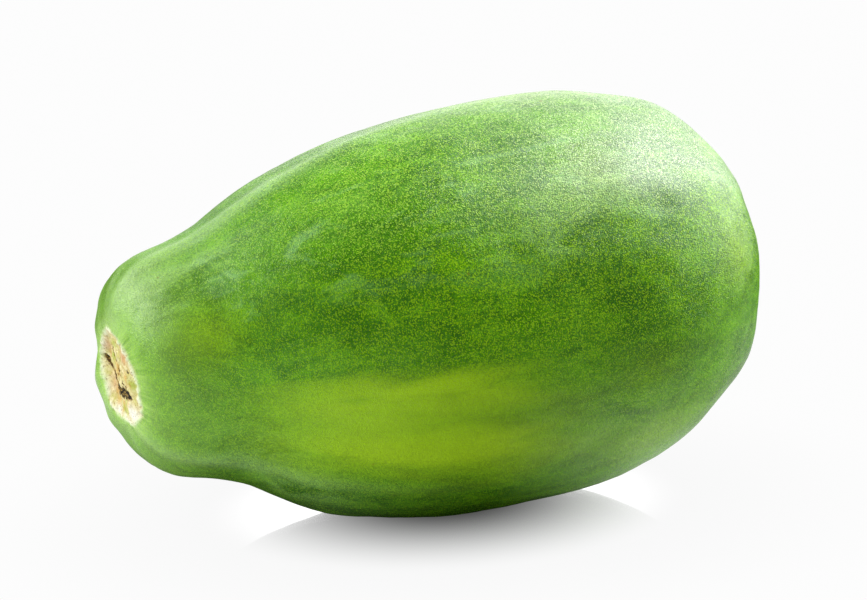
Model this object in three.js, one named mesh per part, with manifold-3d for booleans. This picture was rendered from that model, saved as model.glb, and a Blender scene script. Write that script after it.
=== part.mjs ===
// A whole green papaya lying on its side, as one solid.
// Millimetres, +Z up. The core runs along X, from the stem end at -X to the blossom end at +X.
// The origin is at the middle of the fruit's box, on the surface that it rests on.

import * as THREE from "three";
import { mergeVertices } from "three/addons/utils/BufferGeometryUtils.js";
import Module from "manifold-3d";

// Driving dimensions
const BODY_LENGTH = 225; // from the stem's lip to the blossom end, without the tip
const BELLY_RADIUS = 67; // mean radius at the widest place
const SCAR_RADIUS = 14.5; // the pale disc where the stem broke off
const SCAR_DEPTH = 2.6; // how far that disc lies below the lip round it
const TIP_HEIGHT = 6.5; // the small nipple at the blossom end
const TIP_RADIUS = 9;
const CORE_SAG = 3.8; // how far the middle of the core hangs below its ends
const LEAN = 5.5; // degrees that the blossom end is raised, because the neck is slimmer
const REST_DEPTH = 0.9; // how much the weight flattens the underside, which makes the resting spot

// Half outline from the lip to the blossom end. Each row: share of the body's length, share of the belly's
// radius, and how far the lobes rise there as a share of the radius (bold at the neck, faint at the belly).
const OUTLINE = [
  [0.0, 0.25, 0.03],
  [0.016, 0.41, 0.04],
  [0.05, 0.517, 0.06],
  [0.125, 0.6, 0.075],
  [0.25, 0.804, 0.042],
  [0.41, 0.953, 0.022],
  [0.58, 0.995, 0.016],
  [0.73, 0.968, 0.026],
  [0.845, 0.836, 0.038],
  [0.92, 0.648, 0.045],
  [0.965, 0.432, 0.04],
  [0.99, 0.224, 0.036],
  [1.0, 0.0, 0.035],
];

// The five lobes, one over each seed chamber: the angle of each crest at the stem and at the blossom end.
// Angles are in degrees round the core, from the front (-Y) up over the top (+Z).
const CRESTS = [
  { stem: 73, blossom: 90 },
  { stem: 21, blossom: 38 },
  { stem: -43, blossom: -55 },
  { stem: -128, blossom: -113 },
  { stem: 161, blossom: 173 },
];
const CREST_SHARPNESS = 7; // higher is a narrower crest
const CREST_MEAN = 0.768; // mean of the five crests' curve round the fruit, for that sharpness
const POLE_FADE = 20; // lobes and swells die out inside this radius at both ends

// Broad swells and hollows of this one fruit: place, rise in millimetres (a hollow is negative), half sizes
const SWELLS = [
  { along: 192, around: 88, rise: 1.3, length: 10, width: 16 },
  { along: 215, around: 34, rise: -1.2, length: 6, width: 8 },
  { along: 207, around: -38, rise: 1.0, length: 7, width: 9 },
  { along: 193, around: -53, rise: -1.1, length: 8, width: 14 },
  { along: 63, around: -72, rise: 0.9, length: 14, width: 24 },
  { along: 34, around: -74, rise: -0.8, length: 9, width: 20 },
  { along: 1, around: -158, rise: 1.9, length: 8, width: 9 },
  { along: 1, around: 172, rise: -1.0, length: 8, width: 5 },
];

// Fineness of the mesh
const AROUND = 72;
const STEPS_PER_STATION = 4;
const SCAR_RINGS = 4;

const lerp = THREE.MathUtils.lerp;
const radians = THREE.MathUtils.degToRad;

// Signed angle from b to a, in degrees from -180 to 180.
function angleBetween(a, b) {
  return THREE.MathUtils.euclideanModulo(a - b + 180, 360) - 180;
}

// Height of the lobes' curve at an angle, near 1 on a crest and with a mean of 0 round the fruit.
function lobeCurve(share, angle) {
  const crests = CRESTS.map(({ stem, blossom }) => {
    const off = radians(angle - lerp(stem, blossom, share));
    return Math.exp(CREST_SHARPNESS * (Math.cos(off) - 1));
  });
  return crests.reduce((sum, height) => sum + height) - CREST_MEAN;
}

// Rise of the swells and hollows at a place on the skin, in millimetres.
function swellRise(along, angle, radius) {
  return SWELLS.reduce((sum, { along: x, around, rise, length, width }) => {
    const aside = radians(angleBetween(angle, around)) * radius;
    return sum + rise * Math.exp(-(((along - x) / length) ** 2) - (aside / width) ** 2);
  }, 0);
}

// Values of a smooth curve through one column of the outline's rows, at every ring of the skin.
function skinValues(column) {
  const stations = OUTLINE.map((row) => new THREE.Vector2(row[column], 0));
  const rings = (OUTLINE.length - 1) * STEPS_PER_STATION;
  return new THREE.SplineCurve(stations).getPoints(rings).map((point) => point.x);
}

// Rings of the fruit from the middle of the scar to the tip: distance along the core, radius, lobes' rise.
function fruitRings() {
  const [along, radius, rise] = [0, 1, 2].map(skinValues);
  const scar = Array.from({ length: SCAR_RINGS }, (_, ring) => {
    return { along: SCAR_DEPTH, radius: (SCAR_RADIUS * ring) / (SCAR_RINGS - 1), rise: rise[0] };
  });
  const skin = along.map((share, ring) => {
    return { along: share * BODY_LENGTH, radius: radius[ring] * BELLY_RADIUS, rise: rise[ring] };
  });
  return [...scar, ...skin];
}

// The fruit in its own frame: the outline turned round the core, then pushed out by its lobes and swells.
function fruitGeometry() {
  const rings = fruitRings();
  const outline = rings.map(({ along, radius }) => new THREE.Vector2(radius, along));
  const geometry = new THREE.LatheGeometry(outline, AROUND);
  const position = geometry.getAttribute("position");
  const normal = geometry.getAttribute("normal");
  for (let i = 0; i < position.count; i += 1) {
    const { along, radius, rise } = rings[i % rings.length];
    const share = along / BODY_LENGTH;
    const turn = Math.atan2(-position.getX(i), position.getZ(i));
    const angle = THREE.MathUtils.radToDeg(turn);
    const lobes = radius * rise * lobeCurve(share, angle);
    const fade = THREE.MathUtils.smoothstep(radius, 0, POLE_FADE);
    const push = fade * (lobes + swellRise(along, angle, radius));
    const out = radius + push * Math.hypot(normal.getX(i), normal.getZ(i));
    const tip = share > 0.5 ? TIP_HEIGHT * Math.exp(-((radius / TIP_RADIUS) ** 2)) : 0;
    const sag = CORE_SAG * 4 * share * (1 - share);
    position.setXYZ(
      i,
      along + push * normal.getY(i) + tip,
      -out * Math.cos(turn),
      out * Math.sin(turn) - sag,
    );
  }
  return geometry;
}

// Leans the fruit as it lies, then sets the middle of its box on the origin and lets it sink by REST_DEPTH.
function layDown(geometry) {
  geometry.rotateY(-radians(LEAN));
  geometry.computeBoundingBox();
  const middle = geometry.boundingBox.getCenter(new THREE.Vector3());
  geometry.translate(-middle.x, -middle.y, -geometry.boundingBox.min.z - REST_DEPTH);
  return geometry;
}

const wasm = await Module();
wasm.setup();

// A closed geometry as a solid that can be cut.
function solidOf(geometry) {
  geometry.deleteAttribute("normal");
  geometry.deleteAttribute("uv");
  const merged = mergeVertices(geometry, 1e-3);
  return new wasm.Manifold(
    new wasm.Mesh({
      numProp: 3,
      vertProperties: new Float32Array(merged.getAttribute("position").array),
      triVerts: new Uint32Array(merged.index.array),
    }),
  );
}

// A solid back as a geometry, with smooth shading.
function geometryOf(solid) {
  const mesh = solid.getMesh();
  const geometry = new THREE.BufferGeometry();
  geometry.setAttribute("position", new THREE.BufferAttribute(mesh.vertProperties, 3));
  geometry.setIndex(new THREE.BufferAttribute(mesh.triVerts, 1));
  geometry.computeVertexNormals();
  return geometry;
}

// The fruit with its underside cut flat where it rests on the surface.
function restingFruit() {
  const fruit = solidOf(layDown(fruitGeometry()));
  const surface = new THREE.BoxGeometry(2 * BODY_LENGTH, 2 * BODY_LENGTH, BELLY_RADIUS);
  surface.translate(0, 0, -BELLY_RADIUS / 2);
  return geometryOf(fruit.subtract(solidOf(surface)));
}

const skin = new THREE.MeshStandardMaterial({ color: 0x5d9428, roughness: 0.38, metalness: 0 });

const papaya = new THREE.Mesh(restingFruit(), skin);
papaya.name = "papaya";

const part = new THREE.Group();
part.add(papaya);

export default part;
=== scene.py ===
"""A whole green papaya lying on a white table, with its skin, stem scar and blossom tip as one fine mesh."""

import math

import bpy
import numpy as np
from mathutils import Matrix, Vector, noise


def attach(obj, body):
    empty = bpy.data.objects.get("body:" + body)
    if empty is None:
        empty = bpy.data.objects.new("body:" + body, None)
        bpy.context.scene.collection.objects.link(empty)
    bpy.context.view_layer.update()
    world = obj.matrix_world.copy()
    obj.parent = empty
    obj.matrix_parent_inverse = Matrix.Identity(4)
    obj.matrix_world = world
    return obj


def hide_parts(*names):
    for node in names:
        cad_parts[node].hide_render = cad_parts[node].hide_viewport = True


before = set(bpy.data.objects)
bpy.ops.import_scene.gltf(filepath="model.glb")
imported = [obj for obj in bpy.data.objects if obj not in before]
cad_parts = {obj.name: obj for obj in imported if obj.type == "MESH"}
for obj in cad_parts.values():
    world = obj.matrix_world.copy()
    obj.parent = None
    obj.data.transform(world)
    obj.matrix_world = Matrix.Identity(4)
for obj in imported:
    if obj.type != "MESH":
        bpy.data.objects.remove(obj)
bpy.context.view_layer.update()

MM = 0.001

# Form of the fruit, in millimetres and degrees, as in the part's source
BODY_LENGTH = 225.0
BELLY_RADIUS = 67.0
TIP_HEIGHT = 6.5
TIP_RADIUS = 9.0
DIMPLE_DEPTH = 1.0  # in the tip, where the flower was
DIMPLE_RADIUS = 1.8
DRY_TIP_RADIUS = 4.5
CORE_SAG = 3.8
LEAN = 5.5
REST_DEPTH = 0.9
CREST_SHARPNESS = 7.0
CREST_MEAN = 0.768
POLE_FADE = 20.0

# Share of the body's length, share of the belly's radius, rise of the lobes as a share of the radius
OUTLINE = (
    (0.0, 0.25, 0.03),
    (0.016, 0.41, 0.04),
    (0.05, 0.517, 0.06),
    (0.125, 0.6, 0.075),
    (0.25, 0.804, 0.042),
    (0.41, 0.953, 0.022),
    (0.58, 0.995, 0.016),
    (0.73, 0.968, 0.026),
    (0.845, 0.836, 0.038),
    (0.92, 0.648, 0.045),
    (0.965, 0.432, 0.04),
    (0.99, 0.224, 0.036),
    (1.0, 0.0, 0.035),
)
LIP_RADIUS = OUTLINE[0][1] * BELLY_RADIUS

# Angle of each lobe's crest at the stem end and at the blossom end
CRESTS = ((73, 90), (21, 38), (-43, -55), (-128, -113), (161, 173))

# Swells and hollows: along the core, angle round it, rise, half length, half width
SWELLS = (
    (192, 88, 1.3, 10, 16),
    (215, 34, -1.2, 6, 8),
    (207, -38, 1.0, 7, 9),
    (193, -53, -1.1, 8, 14),
    (63, -72, 0.9, 14, 24),
    (34, -74, -0.8, 9, 20),
    (1, -158, 1.9, 8, 9),
    (1, 172, -1.0, 8, 5),
)

# Small dents in the skin, in the same columns; the material paints shade in them
DENTS = (
    (169, 34, -0.7, 7, 4),
    (166, 27, -0.5, 6, 3.5),
    (147, 30, -0.45, 8, 4),
    (178, 44, -0.4, 5, 4),
    (120, 62, -0.4, 10, 5),
    (140, 12, -0.3, 16, 9),
    (150, -140, -0.6, 9, 6),
    (95, 150, -0.5, 10, 7),
)

# Fine ridges on the neck, which the material also paints with a pale highlight: angle at the stem, angle at
# the blossom end, rise, half width, reach along the core
RIDGES = (
    (75, 106, 1.4, 4.0, 95),
    (62, 76, 0.6, 3.0, 42),
    (96, 112, 0.5, 3.0, 60),
    (-38, -44, 0.7, 3.2, 60),
    (-66, -78, 0.35, 2.6, 55),
    (-128, -113, 0.9, 4.0, 90),
    (161, 173, 0.6, 4.0, 80),
    (130, 140, 0.4, 3.0, 60),
    (-160, -150, 0.4, 3.0, 60),
)

# Lumps all over the skin: rise, size, octaves of noise
LUMPS = ((0.35, 24.0, 2), (0.13, 7.0, 3))

# Faint ribs round the neck: rise, and reach along the core
RIB_RISE = 0.15
RIB_REACH = 60.0
LIP_FADE = 8.0  # the low relief starts over this distance outside the lip

# Yellower places on the green; the one low on the front near the blossom end (160, -36) is painted light from
# the lower right. Along the core, angle round it, strength, half length, half width
YELLOW_AND_LIT_SPOTS = (
    (21, 27, 0.8, 10, 8),
    (196, 15, 0.7, 7, 9),
    (150, 96, 0.4, 26, 14),
    (160, -36, 0.6, 20, 10),
    (154, -11, 0.35, 14, 8),
    (150, 50, 0.35, 10, 12),
    (110, -150, 0.5, 40, 16),
    (60, 130, 0.4, 30, 10),
)

# Pale dusty places, in the same columns; the ones on the right limb (198, 22) and on the neck near the scar
# (7, 52) are partly painted sheen, where bright light reflects
DUST_AND_SHEEN = (
    (7, 52, 0.9, 9, 10),
    (24, 60, 0.4, 14, 8),
    (30, -30, 0.3, 14, 8),
    (130, 31, 0.45, 16, 9),
    (150, 44, 0.4, 20, 9),
    (80, 58, 0.15, 30, 8),
    (198, 22, 0.8, 9, 16),
    (46, -48, 0.4, 14, 10),
)

# The blush, a paler side low on the front of the belly: partly yellower skin, and partly painted light thrown
# up by the white table, with its top edge a painted reflection of the table's edge. Its edges fade between
# two angles round the core, or between two distances along it
BLUSH_AND_BOUNCE_TOP = (-5.0, 6.0)
BLUSH_AND_BOUNCE_BOTTOM = (-45.0, -25.0)
BLUSH_AND_BOUNCE_START = (15.0, 70.0)
BLUSH_AND_BOUNCE_END = (88.0, 150.0)
BLUSH_AND_BOUNCE_END_ANGLE = -10.0  # the end lies there at this angle
BLUSH_AND_BOUNCE_END_SLANT = 0.9  # and moves this far towards the blossom for each degree further down
BLUSH_AND_BOUNCE_WANDER = 5.0  # degrees that the edges wander
BLUSH_AND_BOUNCE_TOP_DROP = (92.0, 0.16)  # from here along, the top edge drops by these degrees for each millimetre
BLUSH_AND_BOUNCE_BOTTOM_RISE = (80.0, 0.1)  # and from here the bottom edge rises
BLUSH_AND_BOUNCE_MIDDLE = -13.0  # a darker band runs through it here
BLUSH_AND_BOUNCE_MIDDLE_HALF = 5.0
BLUSH_AND_BOUNCE_MIDDLE_FULL = (60.0, 100.0)
BLUSH_AND_BOUNCE_MIDDLE_STRENGTH = 0.45

# Where the skin's bloom, its painted glints and its gloss come in: between two angles round the core, or
# between two distances along it
BLOOM_SIDES = (12.0, 50.0)
SPARKLE_SIDES = (-0.2, 0.25)  # as the sine of the angle
SPARKLE_ALONG = (30.0, 100.0)
SHINE_FRONT = (30.0, 50.0)
SHINE_BACK = (115.0, 150.0)
SHINE_ALONG = (105.0, 165.0)
SHOULDER_REACH = 34.0

# The stem scar, seen along the core: the first number of a place is towards the front, the second is up
SCAR_CENTRE = (5.0, 0.0)
SCAR_HALF = (17.5, 14.8)
SCAR_MIDDLE_DEPTH = 1.5
SCAR_TILT = 0.1  # the scar turns a little to the front: deeper at the back, level with the lip in front
SCAR_CRACKS = (
    ((-10.8, 2.5), (-9.8, 0.8), (-6.2, -1.2), (-2.5, -3.8), (-0.8, -6.8)),
    ((-3.0, 6.5), (1.0, 3.0), (3.2, -0.2), (7.8, -2.2), (15.5, -3.5)),
)
CRACK_WIDTH = 0.75
CRACK_DEPTH = 0.6
PIT_DEPTH = 0.9
CORK_RISE = 0.45
CORK_SIZE = 2.6
FIBRE_RISE = 0.35
FIBRE_SIZE = 1.5
# Stretches the noise into fibres that slant down to the front
FIBRE_STRETCH = np.array([[0.8, 0.25, 0.0], [0.6, -0.18, 0.0], [0.0, 0.0, 1.0]])
RIM_RISE = 0.4

# Parts of the scar, as shares of its half size
SCAR_FLOOR_EDGE = (0.75, 1.05)
SCAR_EDGE_WANDER = 0.14
SCAR_EDGE_FADE = 0.08
RIM_HALF = 0.09
HALO_REACH = 0.5
SCAR_MARGIN = 10.0  # millimetres outside the lip that the scar can reach

# Places on the scar: towards the front, up, half width, half height
SCAR_PITS = (
    (-10.5, 2.2, 1.0, 0.8),
    (-1.2, -6.0, 1.8, 2.4),
    (3.0, -6.2, 3.2, 1.6),
    (8.0, -5.2, 4.5, 1.5),
    (13.0, -4.4, 3.5, 1.1),
    (16.5, 4.2, 0.9, 0.5),
)
SCAR_PALE = ((-0.5, -12.8, 2.5, 1.8), (15.8, -9.5, 4.0, 2.6), (9.5, -13.5, 4.0, 1.5))
SCAR_OLIVE = ((19.5, 0.8, 3.0, 2.2), (5.5, -10.5, 4.0, 1.2), (0.0, 9.0, 3.0, 1.2), (-2.0, 4.5, 3.0, 1.2))
SCAR_PINK = ((-8.2, 7.0, 3.5, 2.2), (13.0, 8.0, 5.0, 2.0), (-6.0, -5.0, 3.0, 2.5))

# Fineness of the mesh
AROUND = 320
SCAR_RINGS = 30
BODY_SPACING = 1.3
END_SPACING = 0.55
END_RADIUS = 24.0

# The skin's finest structure, in cells for each metre, and its relief in metres
GRAIN_SCALE = 3000.0
GRAIN_RELIEF = 0.0001
PEBBLE_SCALE = 620.0
PEBBLE_RELIEF = 0.0001

# Gloss of the skin: roughness from waxy to dull, its change with the grain, and the specular level from plain
# to shiny places
ROUGHNESS = (0.22, 0.32)
GRAIN_ROUGHNESS = (0.12, -0.1)
SCAR_ROUGHNESS = 0.5
SPECULAR = (0.22, 0.57)

# Camera, as the photograph was taken
CAMERA_AIM = Vector((2.8, 16.6, 65.2)) * MM
CAMERA_TURN = -24.0
CAMERA_RISE = 14.0
CAMERA_DISTANCE = 809.4 * MM
CAMERA_LENS = 100.0
CAMERA_SENSOR = 36.0

# Soft lights: name, direction from the fruit, distance and sizes in metres, watts
SOFTBOXES = (
    ("right_softbox", (0.67, -0.02, 0.74), 0.9, (0.6, 0.6), 14.8),
    ("right_panel", (0.97, -0.06, 0.22), 0.9, (0.5, 0.4), 4.0),
    ("left_softbox", (-0.80, 0.33, 0.50), 1.0, (0.9, 0.7), 12.3),
)

# Light from the room: an even part, then more from some sides. Each row: direction of the side, how far round
# towards it the light starts and is full (1 is straight at it), and its strength
ROOM_LIGHT = 0.01
ROOM_SIDES = (
    ((0.63, 0.75, 0.21), 0.75, 0.97, 1.93),
    ((0.85, -0.49, 0.21), 0.75, 0.97, 0.91),
    ((-0.85, -0.49, 0.21), 0.75, 0.97, 1.61),
    ((0.0, 0.64, 0.77), 0.75, 0.97, 0.24),
)

# The table as the camera sees it: distances in metres from the middle of the fruit
FLOOR_HALF = 4.0
WHITE = 0.98
SHADE = 0.05
SHADE_REACH = (0.14, 0.03)
MIRROR_SHARE = 0.95
MIRROR_REACH = (0.068, 0.008)
MIRROR_COLOR = (0.85, 0.85, 0.85, 1.0)
MIRROR_ROUGHNESS = 0.04
FLOOR_OVAL = (0.8, 1.0, 0.0)
FULL_WHITE = (1.0, 1.0, 1.0, 1.0)

# Bright places on the table, as they light the fruit: place and reach in metres, strength. They fade out
# under the fruit
UNDER_FRUIT = (0.01, 0.07)
TABLE_LIGHT = 0.02
TABLE_POOLS = (
    ((0.071, -0.071), 0.08, 1.45),
    ((0.0, -0.1), 0.08, 0.2),
    ((-0.071, -0.071), 0.08, 0.45),
    ((0.1, 0.0), 0.08, 0.61),
    ((0.156, -0.156), 0.15, 0.85),
    ((0.0, -0.22), 0.15, 0.79),
    ((-0.156, -0.156), 0.15, 3.11),
    ((-0.22, 0.0), 0.15, 1.58),
    ((0.22, 0.0), 0.15, 1.0),
    ((0.156, 0.156), 0.15, 0.8),
    ((0.0, 0.22), 0.15, 0.8),
    ((-0.156, 0.156), 0.15, 0.8),
)


def smooth_step(low, high, value):
    """0 below low, 1 above high, smooth between."""
    share = np.clip((value - low) / (high - low), 0.0, 1.0)
    return share * share * (3.0 - 2.0 * share)


def angle_between(a, b):
    """Signed angle from b to a, in degrees."""
    return (a - b + 180.0) % 360.0 - 180.0


def smooth_curve(rows, t):
    """Points of a smooth curve through the rows, at parameters t that count rows."""
    rows = np.asarray(rows, float)
    last = len(rows) - 1
    i = np.minimum(t.astype(int), last - 1)
    part = (t - i)[:, None]
    p0 = rows[np.maximum(i - 1, 0)]
    p1 = rows[i]
    p2 = rows[i + 1]
    p3 = rows[np.minimum(i + 2, last)]
    v0 = (p2 - p0) / 2.0
    v1 = (p3 - p1) / 2.0
    cubic = (2 * p1 - 2 * p2 + v0 + v1) * part**3
    square = (3 * p2 - 3 * p1 - 2 * v0 - v1) * part**2
    return cubic + square + v0 * part + p1


def noise_at(points, scale, octaves=3):
    """Seedless fractal noise, about -1 to 1, at points in millimetres for lumps of about the given size."""
    flat = points.reshape(-1, 3) / scale
    values = [noise.fractal(Vector(p), 1.0, 2.0, octaves) for p in flat]
    return np.array(values).reshape(points.shape[:-1])


def skin_rings():
    """Rings of the skin, close together at both ends: along, radius, rise; and the outline's normals."""
    fine = np.linspace(0.0, len(OUTLINE) - 1.0, 6000)
    curve = smooth_curve(OUTLINE, fine) * (BODY_LENGTH, BELLY_RADIUS, 1.0)
    step = np.hypot(np.diff(curve[:, 0]), np.diff(curve[:, 1]))
    middle = (curve[1:, 1] + curve[:-1, 1]) / 2.0
    wide = smooth_step(END_RADIUS, 2.0 * END_RADIUS, middle)
    spacing = END_SPACING + (BODY_SPACING - END_SPACING) * wide
    count = np.concatenate([[0.0], np.cumsum(step / spacing)])
    t = np.interp(np.linspace(0.0, count[-1], int(count[-1])), count, fine)
    rings = smooth_curve(OUTLINE, t) * (BODY_LENGTH, BELLY_RADIUS, 1.0)
    rings[-1, 1] = 0.0
    tangent = np.gradient(rings[:, :2], axis=0)
    tangent /= np.linalg.norm(tangent, axis=1, keepdims=True)
    normal = np.stack([-tangent[:, 1], tangent[:, 0]], axis=1)
    return rings, normal


def fruit_rings():
    """All rings from the middle of the scar to the tip, with their normals."""
    skin, normal = skin_rings()
    radii = np.linspace(0.0, LIP_RADIUS, SCAR_RINGS, endpoint=False)
    scar = np.stack([np.zeros(SCAR_RINGS), radii, np.full(SCAR_RINGS, OUTLINE[0][2])], axis=1)
    facing = np.tile((-1.0, 0.0), (SCAR_RINGS, 1))
    return np.concatenate([scar, skin]), np.concatenate([facing, normal])


def lobe_curve(share, angle):
    """Height of the lobes' curve, near 1 on a crest and with a mean of 0 round the fruit."""
    total = np.zeros(np.broadcast(share, angle).shape)
    for stem, blossom in CRESTS:
        off = np.radians(angle - (stem + (blossom - stem) * share))
        total += np.exp(CREST_SHARPNESS * (np.cos(off) - 1.0))
    return total - CREST_MEAN


def swell_rise(places, along, angle, radius):
    """Sum of the oval places on the skin, each fading out over its half sizes."""
    total = np.zeros(np.broadcast(along, angle).shape)
    for x, around, rise, length, width in places:
        aside = np.radians(angle_between(angle, around)) * radius
        total += rise * np.exp(-(((along - x) / length) ** 2) - (aside / width) ** 2)
    return total


def ridge_rise(share, along, angle, radius):
    """Height of the fine ridges, each fading out along its reach."""
    total = np.zeros(np.broadcast(along, angle).shape)
    for stem, blossom, rise, width, reach in RIDGES:
        aside = np.radians(angle_between(angle, stem + (blossom - stem) * share)) * radius
        total += rise * np.exp(-((aside / width) ** 2) - (along / reach) ** 2)
    return total


def line_mask(front, up, stops):
    """1 on a line through places on the scar, fading over the width of a crack."""
    total = np.zeros(np.broadcast(front, up).shape)
    for start, end in zip(stops, stops[1:]):
        run = np.subtract(end, start)
        ahead = front - start[0]
        above = up - start[1]
        share = np.clip((ahead * run[0] + above * run[1]) / (run @ run), 0.0, 1.0)
        away = np.hypot(ahead - share * run[0], above - share * run[1])
        total = np.maximum(total, np.exp(-((away / CRACK_WIDTH) ** 2)))
    return total


def spot_mask(front, up, places):
    """1 in the middle of each oval place on the scar, fading over its half sizes."""
    total = np.zeros(np.broadcast(front, up).shape)
    for spot_front, spot_up, width, height in places:
        ahead = (front - spot_front) / width
        above = (up - spot_up) / height
        total = np.maximum(total, np.exp(-(ahead**2) - above**2))
    return total


def scar_relief(front, up, radius, edge_noise):
    """How far the stem's scar sinks below the lip, and the masks of what shows on it."""
    away = np.hypot((front - SCAR_CENTRE[0]) / SCAR_HALF[0], (up - SCAR_CENTRE[1]) / SCAR_HALF[1])
    edge = 1.0 + SCAR_EDGE_WANDER * edge_noise
    depth = np.maximum(SCAR_MIDDLE_DEPTH - SCAR_TILT * front, 0.0)
    floor = depth * (1.0 - smooth_step(*SCAR_FLOOR_EDGE, away))
    crack = np.maximum.reduce([line_mask(front, up, stops) for stops in SCAR_CRACKS])
    pit = spot_mask(front, up, SCAR_PITS)
    flat = np.stack(np.broadcast_arrays(front, up, np.zeros_like(front)), axis=-1)
    cork = noise_at(flat, CORK_SIZE, 4)
    fibre = noise_at(flat @ FIBRE_STRETCH, FIBRE_SIZE, 3)
    inside = 1.0 - smooth_step(edge - SCAR_EDGE_FADE, edge + SCAR_EDGE_FADE, away)
    relief = CORK_RISE * cork + FIBRE_RISE * fibre - CRACK_DEPTH * crack - PIT_DEPTH * pit
    rim = np.exp(-(((away - edge) / RIM_HALF) ** 2))
    sink = floor - inside * relief - RIM_RISE * rim * cork
    masks = {
        "scar": inside,
        "crack": crack * inside,
        "pit": pit * inside,
        "rim": np.clip(rim * (0.8 + 1.2 * cork), 0.0, 1.0),
        "pale": spot_mask(front, up, SCAR_PALE),
        "olive": spot_mask(front, up, SCAR_OLIVE),
        "pink": spot_mask(front, up, SCAR_PINK),
        "halo": 1.0 - smooth_step(edge, edge + HALO_REACH, away),
    }
    near = radius <= LIP_RADIUS + SCAR_MARGIN
    return np.where(near, sink, 0.0), masks


def blush_and_bounce_mask(along, angle, wander):
    """The paler side, partly painted table light, in two bands with a darker one between; the noise lets its
    edges wander.
    """
    drop_start, drop = BLUSH_AND_BOUNCE_TOP_DROP
    rise_start, rise = BLUSH_AND_BOUNCE_BOTTOM_RISE
    place = angle + BLUSH_AND_BOUNCE_WANDER * wander + drop * np.maximum(along - drop_start, 0.0)
    place_below = angle + BLUSH_AND_BOUNCE_WANDER * wander - rise * np.maximum(along - rise_start, 0.0)
    upper = 1.0 - smooth_step(*BLUSH_AND_BOUNCE_TOP, place)
    lower = smooth_step(*BLUSH_AND_BOUNCE_BOTTOM, place_below)
    start = smooth_step(*BLUSH_AND_BOUNCE_START, along)
    end = 1.0 - smooth_step(*BLUSH_AND_BOUNCE_END, along + BLUSH_AND_BOUNCE_END_SLANT * (place - BLUSH_AND_BOUNCE_END_ANGLE))
    middle = np.exp(-(((place - BLUSH_AND_BOUNCE_MIDDLE) / BLUSH_AND_BOUNCE_MIDDLE_HALF) ** 2))
    darker = BLUSH_AND_BOUNCE_MIDDLE_STRENGTH * middle * (0.4 + 0.6 * smooth_step(*BLUSH_AND_BOUNCE_MIDDLE_FULL, along))
    return upper * lower * start * end * (1.0 - darker)


def build_fruit():
    """Vertices of the fruit as a grid of rings, and the masks that its material reads."""
    rings, normal = fruit_rings()
    angle = np.linspace(-180.0, 180.0, AROUND, endpoint=False)[None, :]
    turn = np.radians(angle)
    along = rings[:, :1]
    radius = rings[:, 1:2]
    share = along / BODY_LENGTH
    on_scar = (np.arange(len(rings)) < SCAR_RINGS)[:, None]
    at_stem = share < 0.5

    lobes = radius * rings[:, 2:] * lobe_curve(share, angle)
    swells = swell_rise(SWELLS, along, angle, radius)
    push = smooth_step(0.0, POLE_FADE, radius) * (lobes + swells)

    # Low relief of the skin: lumps, dents, and ribs that run from the stem down the neck
    front = radius * np.cos(turn)
    up = radius * np.sin(turn)
    place = np.stack(np.broadcast_arrays(along, front, up), axis=-1)
    meridian = np.stack(np.broadcast_arrays(np.cos(turn), np.sin(turn), along / 100.0), axis=-1)
    skin_fade = smooth_step(LIP_RADIUS, LIP_RADIUS + LIP_FADE, radius) * ~on_scar
    lumps = sum(rise * noise_at(place, size, octaves) for rise, size, octaves in LUMPS)
    ribs = RIB_RISE * noise_at(meridian * (1.0, 1.0, 0.2), 0.5, 2) * np.exp(-((along / RIB_REACH) ** 2))
    dents = swell_rise(DENTS, along, angle, radius)
    ridges = ridge_rise(share, along, angle, radius)
    push = push + skin_fade * (lumps + ribs + ridges + dents)

    edge_noise = noise_at(meridian * (1.0, 1.0, 0.0) + (7.0, 0.0, 0.0), 0.8, 4)
    sink, scar_masks = scar_relief(front, up, radius, edge_noise)
    sink = np.where(at_stem, sink, 0.0)

    # The tip: a small nipple with a dry dimple where the flower was
    nipple = TIP_HEIGHT * np.exp(-((radius / TIP_RADIUS) ** 2))
    dimple = DIMPLE_DEPTH * np.exp(-((radius / DIMPLE_RADIUS) ** 2))
    tip = np.where(at_stem, 0.0, nipple - dimple)

    x = along + push * normal[:, :1] + tip + sink
    out = radius + push * normal[:, 1:]
    sag = CORE_SAG * 4.0 * share * (1.0 - share)
    points = np.stack([x, -out * np.cos(turn), out * np.sin(turn) - sag], axis=-1)

    masks = {name: mask * at_stem for name, mask in scar_masks.items()}
    masks["tip"] = np.where(at_stem, 0.0, np.exp(-((radius / DRY_TIP_RADIUS) ** 2)))
    masks["blush_and_bounce"] = blush_and_bounce_mask(along, angle, noise_at(meridian * (1.0, 1.0, 0.35), 0.16, 3))
    masks["yellow_and_lit"] = swell_rise(YELLOW_AND_LIT_SPOTS, along, angle, radius)
    masks["dust_and_sheen"] = swell_rise(DUST_AND_SHEEN, along, angle, radius)
    masks["ridge_highlight"] = np.clip(ridges, 0.0, 1.0)
    masks["bloom"] = smooth_step(*BLOOM_SIDES, 90.0 - np.abs(angle - 90.0))
    # The glints painted on the grain stand for tiny highlights: strongest on the upper side, weaker on the
    # blush
    glinting = smooth_step(*SPARKLE_SIDES, np.sin(turn)) * smooth_step(*SPARKLE_ALONG, along)
    masks["sparkle"] = (0.6 + 0.4 * glinting) * (1.0 - 0.6 * masks["blush_and_bounce"])
    upper_side = smooth_step(*SHINE_FRONT, angle) * (1.0 - smooth_step(*SHINE_BACK, angle))
    masks["shine"] = upper_side * (0.2 + 0.8 * smooth_step(*SHINE_ALONG, along))
    # Painted shade in the dents
    masks["dent_shade"] = np.clip(-1.4 * dents, 0.0, 1.0)
    masks["shoulder"] = 1.0 - smooth_step(0.0, SHOULDER_REACH, along)
    return lay_down(points), meridian, masks


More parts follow.
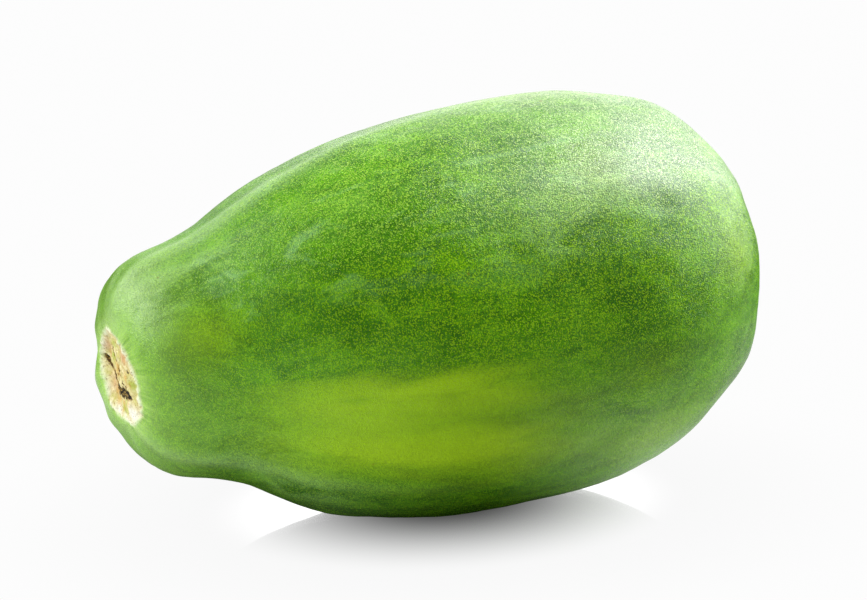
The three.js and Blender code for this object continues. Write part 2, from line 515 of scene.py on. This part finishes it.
def lay_down(points):
    """Leans the fruit, sets the middle of its box on the origin, and flattens the spot that it rests on."""
    lean = math.radians(LEAN)
    x = points[..., 0] * math.cos(lean) - points[..., 2] * math.sin(lean)
    z = points[..., 0] * math.sin(lean) + points[..., 2] * math.cos(lean)
    y = points[..., 1]
    middle = [(axis.max() + axis.min()) / 2.0 for axis in (x, y)]
    z = np.maximum(z - z.min() - REST_DEPTH, 0.0)
    return np.stack([x - middle[0], y - middle[1], z], axis=-1) * MM


def grid_object(name, grid, vectors, masks):
    """A closed mesh from rings of points whose first and last rings are single points."""
    rings, around = grid.shape[:2]
    rows = np.arange(rings * around).reshape(rings, around)
    ahead = np.roll(rows, -1, axis=1)
    first = rows[0, 0]
    last = rows[-1, 0]
    faces = [(first, rows[1, j], ahead[1, j]) for j in range(around)]
    for i in range(1, rings - 2):
        quads = np.stack([rows[i], rows[i + 1], ahead[i + 1], ahead[i]], axis=1)
        faces.extend(map(tuple, quads))
    faces.extend((last, ahead[-2, j], rows[-2, j]) for j in range(around))
    used = np.ones(rings * around, bool)
    used[rows[0, 1:]] = False
    used[rows[-1, 1:]] = False
    number = np.cumsum(used) - 1
    faces = [tuple(int(number[corner]) for corner in face) for face in faces]
    mesh = bpy.data.meshes.new(name)
    mesh.from_pydata(grid.reshape(-1, 3)[used].tolist(), [], faces)
    mesh.polygons.foreach_set("use_smooth", [True] * len(mesh.polygons))
    vector = mesh.attributes.new("meridian", "FLOAT_VECTOR", "POINT")
    vector.data.foreach_set("vector", vectors.reshape(-1, 3)[used].ravel())
    for mask, values in masks.items():
        attribute = mesh.attributes.new(mask, "FLOAT", "POINT")
        attribute.data.foreach_set("value", np.broadcast_to(values, (rings, around)).reshape(-1)[used])
    mesh.update()
    piece = bpy.data.objects.new(name, mesh)
    bpy.context.collection.objects.link(piece)
    return piece


def add(tree, kind, inputs=None, **settings):
    """A shader node with its settings, and its inputs given as values or as other nodes' outputs."""
    made = tree.nodes.new("ShaderNode" + kind)
    for name, value in settings.items():
        setattr(made, name, value)
    for name, value in (inputs or {}).items():
        socket = made.inputs[name]
        if isinstance(value, bpy.types.NodeSocket):
            tree.links.new(value, socket)
        else:
            socket.default_value = value
    return made


def attribute(tree, name, output="Fac"):
    """A value that the mesh carries at each of its points."""
    return add(tree, "Attribute", attribute_name=name).outputs[output]


def math_node(tree, operation, a, b):
    return add(tree, "Math", {0: a, 1: b}, operation=operation).outputs[0]


def band(tree, value, low, high):
    """0 below low, 1 above high, smooth between; low may be the higher number."""
    inputs = {"Value": value, "From Min": low, "From Max": high}
    return add(tree, "MapRange", inputs, interpolation_type="SMOOTHSTEP").outputs[0]


def between(tree, value, ends, low=0.0, high=1.0):
    """From the first end where the value is low to the second end where it is high, in a straight line."""
    inputs = {"Value": value, "From Min": low, "From Max": high, "To Min": ends[0], "To Max": ends[1]}
    return add(tree, "MapRange", inputs).outputs[0]


def scaled(tree, vector, factors):
    return add(tree, "VectorMath", {0: vector, 1: factors}, operation="MULTIPLY").outputs[0]


def noise_node(tree, vector, scale, detail=4.0, roughness=0.55, distortion=0.0):
    """Fractal noise, about 0.5 on average, with the scale in lumps for each metre of an unscaled place."""
    inputs = {"Vector": vector, "Scale": scale, "Detail": detail, "Roughness": roughness}
    return add(tree, "TexNoise", {**inputs, "Distortion": distortion}).outputs[0]


def mix(tree, factor, a, b):
    """A colour from a, where the factor is 0, to b, where it is 1."""
    return add(tree, "Mix", {0: factor, 6: a, 7: b}, data_type="RGBA").outputs[2]


def srgb(red, green, blue):
    """A colour given as it looks on screen, 0 to 255, as the linear values that nodes use."""
    def linear(value):
        value /= 255.0
        return value / 12.92 if value <= 0.04045 else ((value + 0.055) / 1.055) ** 2.4
    return linear(red), linear(green), linear(blue), 1.0


def tinted(tree, color, mask, strength, tint):
    """The colour, moved towards a tint by a mask times a strength."""
    return mix(tree, math_node(tree, "MULTIPLY", mask, strength), color, tint)


def scar_color(tree, place):
    """Cream cork with orange, pink and olive stains, a torn white rim, brown specks, cracks and dark pits."""
    cork = noise_node(tree, place, 420.0, 5.0, 0.7)
    stains = noise_node(tree, place, 180.0, 3.0)
    specks = noise_node(tree, place, 1300.0, 3.0, 0.7)
    color = mix(tree, band(tree, cork, 0.35, 0.68), srgb(184, 172, 104), srgb(222, 214, 166))
    color = tinted(tree, color, band(tree, stains, 0.52, 0.62), 0.7, srgb(196, 156, 76))
    color = tinted(tree, color, band(tree, stains, 0.46, 0.36), 0.6, srgb(178, 184, 80))
    color = tinted(tree, color, attribute(tree, "pink"), 0.7, srgb(192, 150, 112))
    color = tinted(tree, color, attribute(tree, "olive"), 0.8, srgb(150, 168, 44))
    color = tinted(tree, color, attribute(tree, "pale"), 0.9, srgb(236, 238, 226))
    color = tinted(tree, color, attribute(tree, "rim"), 0.8, srgb(232, 236, 212))
    color = tinted(tree, color, band(tree, specks, 0.55, 0.66), 0.7, srgb(128, 90, 34))
    color = tinted(tree, color, band(tree, attribute(tree, "crack"), 0.1, 0.6), 0.7, srgb(150, 118, 36))
    torn = math_node(tree, "MULTIPLY", attribute(tree, "crack"), band(tree, specks, 0.36, 0.56))
    color = mix(tree, band(tree, torn, 0.1, 0.5), color, srgb(70, 46, 8))
    color = tinted(tree, color, band(tree, attribute(tree, "pit"), 0.15, 0.5), 0.85, srgb(124, 94, 20))
    burnt = math_node(tree, "MULTIPLY", attribute(tree, "pit"), band(tree, specks, 0.36, 0.52))
    return mix(tree, band(tree, burnt, 0.2, 0.5), color, srgb(26, 18, 4))


def skin_color(tree, place, meridian, grain):
    """Greens in soft patches, with waxy bloom, a yellower side that is partly painted table light, fine grain
    with painted glints, painted highlights on the ridges, painted shade in the dents, pale dust with some
    painted sheen, and a few brown specks.
    """
    clouds = noise_node(tree, place, 24.0, 3.0)
    patches = noise_node(tree, scaled(tree, place, (0.4, 1.0, 1.0)), 150.0, 6.0, 0.62, 0.5)
    bloom = noise_node(tree, scaled(tree, place, (0.3, 1.0, 1.0)), 105.0, 5.0, 0.62, 0.6)
    streaks = noise_node(tree, scaled(tree, meridian, (26.0, 26.0, 2.5)), 1.0, 4.0, 0.6, 0.3)
    color = mix(tree, band(tree, clouds, 0.35, 0.65), srgb(60, 120, 0), srgb(84, 148, 2))
    color = tinted(tree, color, band(tree, patches, 0.50, 0.64), 0.55, srgb(106, 172, 6))
    color = tinted(tree, color, band(tree, patches, 0.49, 0.36), 0.5, srgb(42, 96, 0))
    color = tinted(tree, color, band(tree, streaks, 0.50, 0.80), 0.25, srgb(122, 186, 24))
    wax = math_node(tree, "MULTIPLY", band(tree, bloom, 0.52, 0.68), attribute(tree, "bloom"))
    color = tinted(tree, color, wax, 0.55, srgb(132, 184, 108))
    # Painted highlight: a pale line along the ridges' crests
    color = tinted(tree, color, attribute(tree, "ridge_highlight"), 0.5, srgb(170, 206, 140))
    # Pale dust, with painted sheen in some of its places
    dust_and_sheen = math_node(tree, "MULTIPLY", attribute(tree, "dust_and_sheen"), band(tree, patches, 0.3, 0.6))
    color = tinted(tree, color, dust_and_sheen, 0.8, srgb(158, 198, 122))
    # Yellower places, one of them a painted patch of light
    color = tinted(tree, color, attribute(tree, "yellow_and_lit"), 0.7, srgb(140, 184, 8))
    soft = noise_node(tree, scaled(tree, meridian, (7.0, 7.0, 2.2)), 1.0, 4.0)
    # The blush: partly yellower skin, partly painted light thrown up by the table
    blush_and_bounce = math_node(tree, "MULTIPLY", attribute(tree, "blush_and_bounce"), band(tree, soft, 0.05, 0.5))
    color = tinted(tree, color, blush_and_bounce, 0.9, srgb(166, 210, 18))
    # Painted shade: darker green in the dents
    color = tinted(tree, color, attribute(tree, "dent_shade"), 0.6, srgb(48, 104, 2))
    # Painted glints: pale specks of the grain, whiter where the skin shines, stand for tiny highlights, with
    # dark gaps between them
    glint = math_node(tree, "MULTIPLY", band(tree, grain, 0.58, 0.76), attribute(tree, "sparkle"))
    gap = math_node(tree, "MULTIPLY", band(tree, grain, 0.42, 0.26), attribute(tree, "sparkle"))
    color = tinted(tree, color, gap, 0.55, srgb(18, 62, 0))
    glint_highlight = mix(tree, attribute(tree, "shine"), srgb(168, 214, 30), srgb(206, 230, 156))
    color = tinted(tree, color, glint, 0.55, glint_highlight)

    cells = add(tree, "TexVoronoi", {"Vector": place, "Scale": 120.0})
    chosen = band(tree, cells.outputs["Color"], 0.80, 0.84)
    spots = math_node(tree, "MULTIPLY", band(tree, cells.outputs["Distance"], 0.10, 0.05), chosen)
    color = tinted(tree, color, spots, 0.6, srgb(112, 84, 30))

    fresh = math_node(tree, "MULTIPLY", attribute(tree, "halo"), band(tree, streaks, 0.3, 0.7))
    color = tinted(tree, color, fresh, 0.6, srgb(184, 218, 116))
    return tinted(tree, color, attribute(tree, "shoulder"), 0.3, srgb(160, 202, 100))


def skin_material():
    """The whole fruit's material: skin, scar and dry tip, told apart by the mesh's masks."""
    material = bpy.data.materials.new("papaya_skin")
    material.use_nodes = True
    tree = material.node_tree
    shader = tree.nodes["Principled BSDF"]
    place = add(tree, "TexCoord").outputs["Object"]
    meridian = attribute(tree, "meridian", "Vector")
    scar = attribute(tree, "scar")
    tip = attribute(tree, "tip")
    cells = add(tree, "TexVoronoi", {"Vector": place, "Scale": GRAIN_SCALE})
    grain = cells.outputs["Color"]

    color = mix(tree, scar, skin_color(tree, place, meridian, grain), scar_color(tree, place))
    color = mix(tree, band(tree, tip, 0.15, 0.6), color, srgb(150, 150, 48))
    color = mix(tree, band(tree, tip, 0.7, 0.92), color, srgb(84, 58, 22))
    tree.links.new(color, shader.inputs["Base Color"])

    # Gloss: waxy in patches, broken up by the grain, dry on the scar and shiniest high on the blossom end
    gloss = between(tree, noise_node(tree, place, 60.0, 4.0), ROUGHNESS, 0.3, 0.7)
    broken = between(tree, grain, GRAIN_ROUGHNESS)
    dry = math_node(tree, "ADD", math_node(tree, "MULTIPLY", scar, SCAR_ROUGHNESS), broken)
    tree.links.new(math_node(tree, "ADD", gloss, dry), shader.inputs["Roughness"])
    shine = between(tree, attribute(tree, "shine"), SPECULAR)
    tree.links.new(shine, shader.inputs["Specular IOR Level"])

    # Relief finer than the mesh: pebbled skin with a fine grain on it
    pebble = noise_node(tree, place, PEBBLE_SCALE, 2.0, 0.5)
    pebbled = add(tree, "Bump", {"Strength": 1.0, "Distance": PEBBLE_RELIEF, "Height": pebble}).outputs[0]
    fine = {"Distance": GRAIN_RELIEF, "Height": cells.outputs["Distance"], "Normal": pebbled}
    bump = add(tree, "Bump", {"Strength": 1.0, **fine})
    tree.links.new(bump.outputs[0], shader.inputs["Normal"])
    return material


def side_light(tree, vector, even, sides):
    """An even strength, plus the strength of each side that the vector points to."""
    total = even
    for direction, start, full, strength in sides:
        toward = add(tree, "VectorMath", {0: vector, 1: direction}, operation="DOT_PRODUCT").outputs["Value"]
        side = math_node(tree, "MULTIPLY", band(tree, toward, start, full), strength)
        total = math_node(tree, "ADD", side, total)
    return total


def pool_light(tree, place):
    """Strength of the table's light at a place: an even part, and pools that fade out over their reach."""
    total = TABLE_LIGHT
    for (x, y), reach, strength in TABLE_POOLS:
        away = add(tree, "VectorMath", {0: place, 1: (x, y, 0.0)}, operation="DISTANCE").outputs["Value"]
        pool = math_node(tree, "MULTIPLY", band(tree, away, reach, 0.0), strength)
        total = math_node(tree, "ADD", pool, total)
    return total


def floor_material():
    """A glossy white table: it mirrors the fruit where it rests, and throws light up from further off."""
    material = bpy.data.materials.new("white_table")
    material.use_nodes = True
    tree = material.node_tree
    place = add(tree, "TexCoord").outputs["Object"]
    oval = scaled(tree, place, FLOOR_OVAL)
    away = add(tree, "VectorMath", {0: oval}, operation="LENGTH").outputs["Value"]

    # As the camera sees it
    shade = math_node(tree, "MULTIPLY", band(tree, away, *SHADE_REACH), -SHADE)
    white = math_node(tree, "ADD", shade, WHITE)
    plain = add(tree, "Emission", {"Color": FULL_WHITE, "Strength": white})
    mirror = add(tree, "BsdfGlossy", {"Color": MIRROR_COLOR, "Roughness": MIRROR_ROUGHNESS})
    shine = math_node(tree, "MULTIPLY", band(tree, away, *MIRROR_REACH), MIRROR_SHARE)
    seen = add(tree, "MixShader", {0: shine, 1: plain.outputs[0], 2: mirror.outputs[0]})

    # As it lights the fruit
    glow = math_node(tree, "MULTIPLY", pool_light(tree, place), band(tree, away, *UNDER_FRUIT))
    lit = add(tree, "Emission", {"Color": FULL_WHITE, "Strength": glow})
    camera = add(tree, "LightPath").outputs["Is Camera Ray"]
    both = add(tree, "MixShader", {0: camera, 1: lit.outputs[0], 2: seen.outputs[0]})
    tree.nodes.remove(tree.nodes["Principled BSDF"])
    tree.links.new(both.outputs[0], tree.nodes["Material Output"].inputs["Surface"])
    return material


def add_floor():
    """The table's top, wide enough to fill every view."""
    mesh = bpy.data.meshes.new("table")
    corners = [(FLOOR_HALF * x, FLOOR_HALF * y, 0.0) for x, y in ((-1, -1), (1, -1), (1, 1), (-1, 1))]
    mesh.from_pydata(corners, [], [(0, 1, 2, 3)])
    mesh.materials.append(floor_material())
    floor = bpy.data.objects.new("table", mesh)
    bpy.context.collection.objects.link(floor)


def add_softbox(name, direction, distance, size, power):
    """A rectangular soft light that faces the fruit from the given direction."""
    light = bpy.data.lights.new(name, "AREA")
    light.shape = "RECTANGLE"
    light.size, light.size_y = size
    light.energy = power
    lamp = bpy.data.objects.new(name, light)
    bpy.context.collection.objects.link(lamp)
    toward = Vector(direction).normalized()
    lamp.visible_camera = False
    lamp.location = CAMERA_AIM + toward * distance
    lamp.rotation_euler = toward.to_track_quat("Z", "Y").to_euler()


def add_world():
    """White to the camera; for light and reflections, brighter on some sides."""
    world = bpy.data.worlds.new("studio")
    bpy.context.scene.world = world
    world.use_nodes = True
    tree = world.node_tree
    direction = add(tree, "TexCoord").outputs["Generated"]
    light = side_light(tree, direction, ROOM_LIGHT, ROOM_SIDES)
    seen = add(tree, "LightPath").outputs["Is Camera Ray"]
    strength = add(tree, "Mix", {0: seen, 2: light, 3: WHITE}).outputs[0]
    background = tree.nodes["Background"]
    background.inputs["Color"].default_value = FULL_WHITE
    tree.links.new(strength, background.inputs["Strength"])


def add_camera():
    """The photograph's camera, turned and raised round the fruit."""
    turn = math.radians(CAMERA_TURN)
    rise = math.radians(CAMERA_RISE)
    back = Vector((math.sin(turn) * math.cos(rise), -math.cos(turn) * math.cos(rise), math.sin(rise)))
    data = bpy.data.cameras.new("camera")
    data.lens = CAMERA_LENS
    data.sensor_width = CAMERA_SENSOR
    camera = bpy.data.objects.new("camera", data)
    bpy.context.collection.objects.link(camera)
    camera.location = CAMERA_AIM + back * CAMERA_DISTANCE
    camera.rotation_euler = back.to_track_quat("Z", "Y").to_euler()
    bpy.context.scene.camera = camera


points, meridians, fruit_masks = build_fruit()
fruit = grid_object("papaya_skin", points, meridians, fruit_masks)
fruit.data.materials.append(skin_material())
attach(fruit, "root")
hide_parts("papaya")

add_floor()
for softbox in SOFTBOXES:
    add_softbox(*softbox)
add_world()
add_camera()
bpy.context.scene.view_settings.view_transform = "Standard"
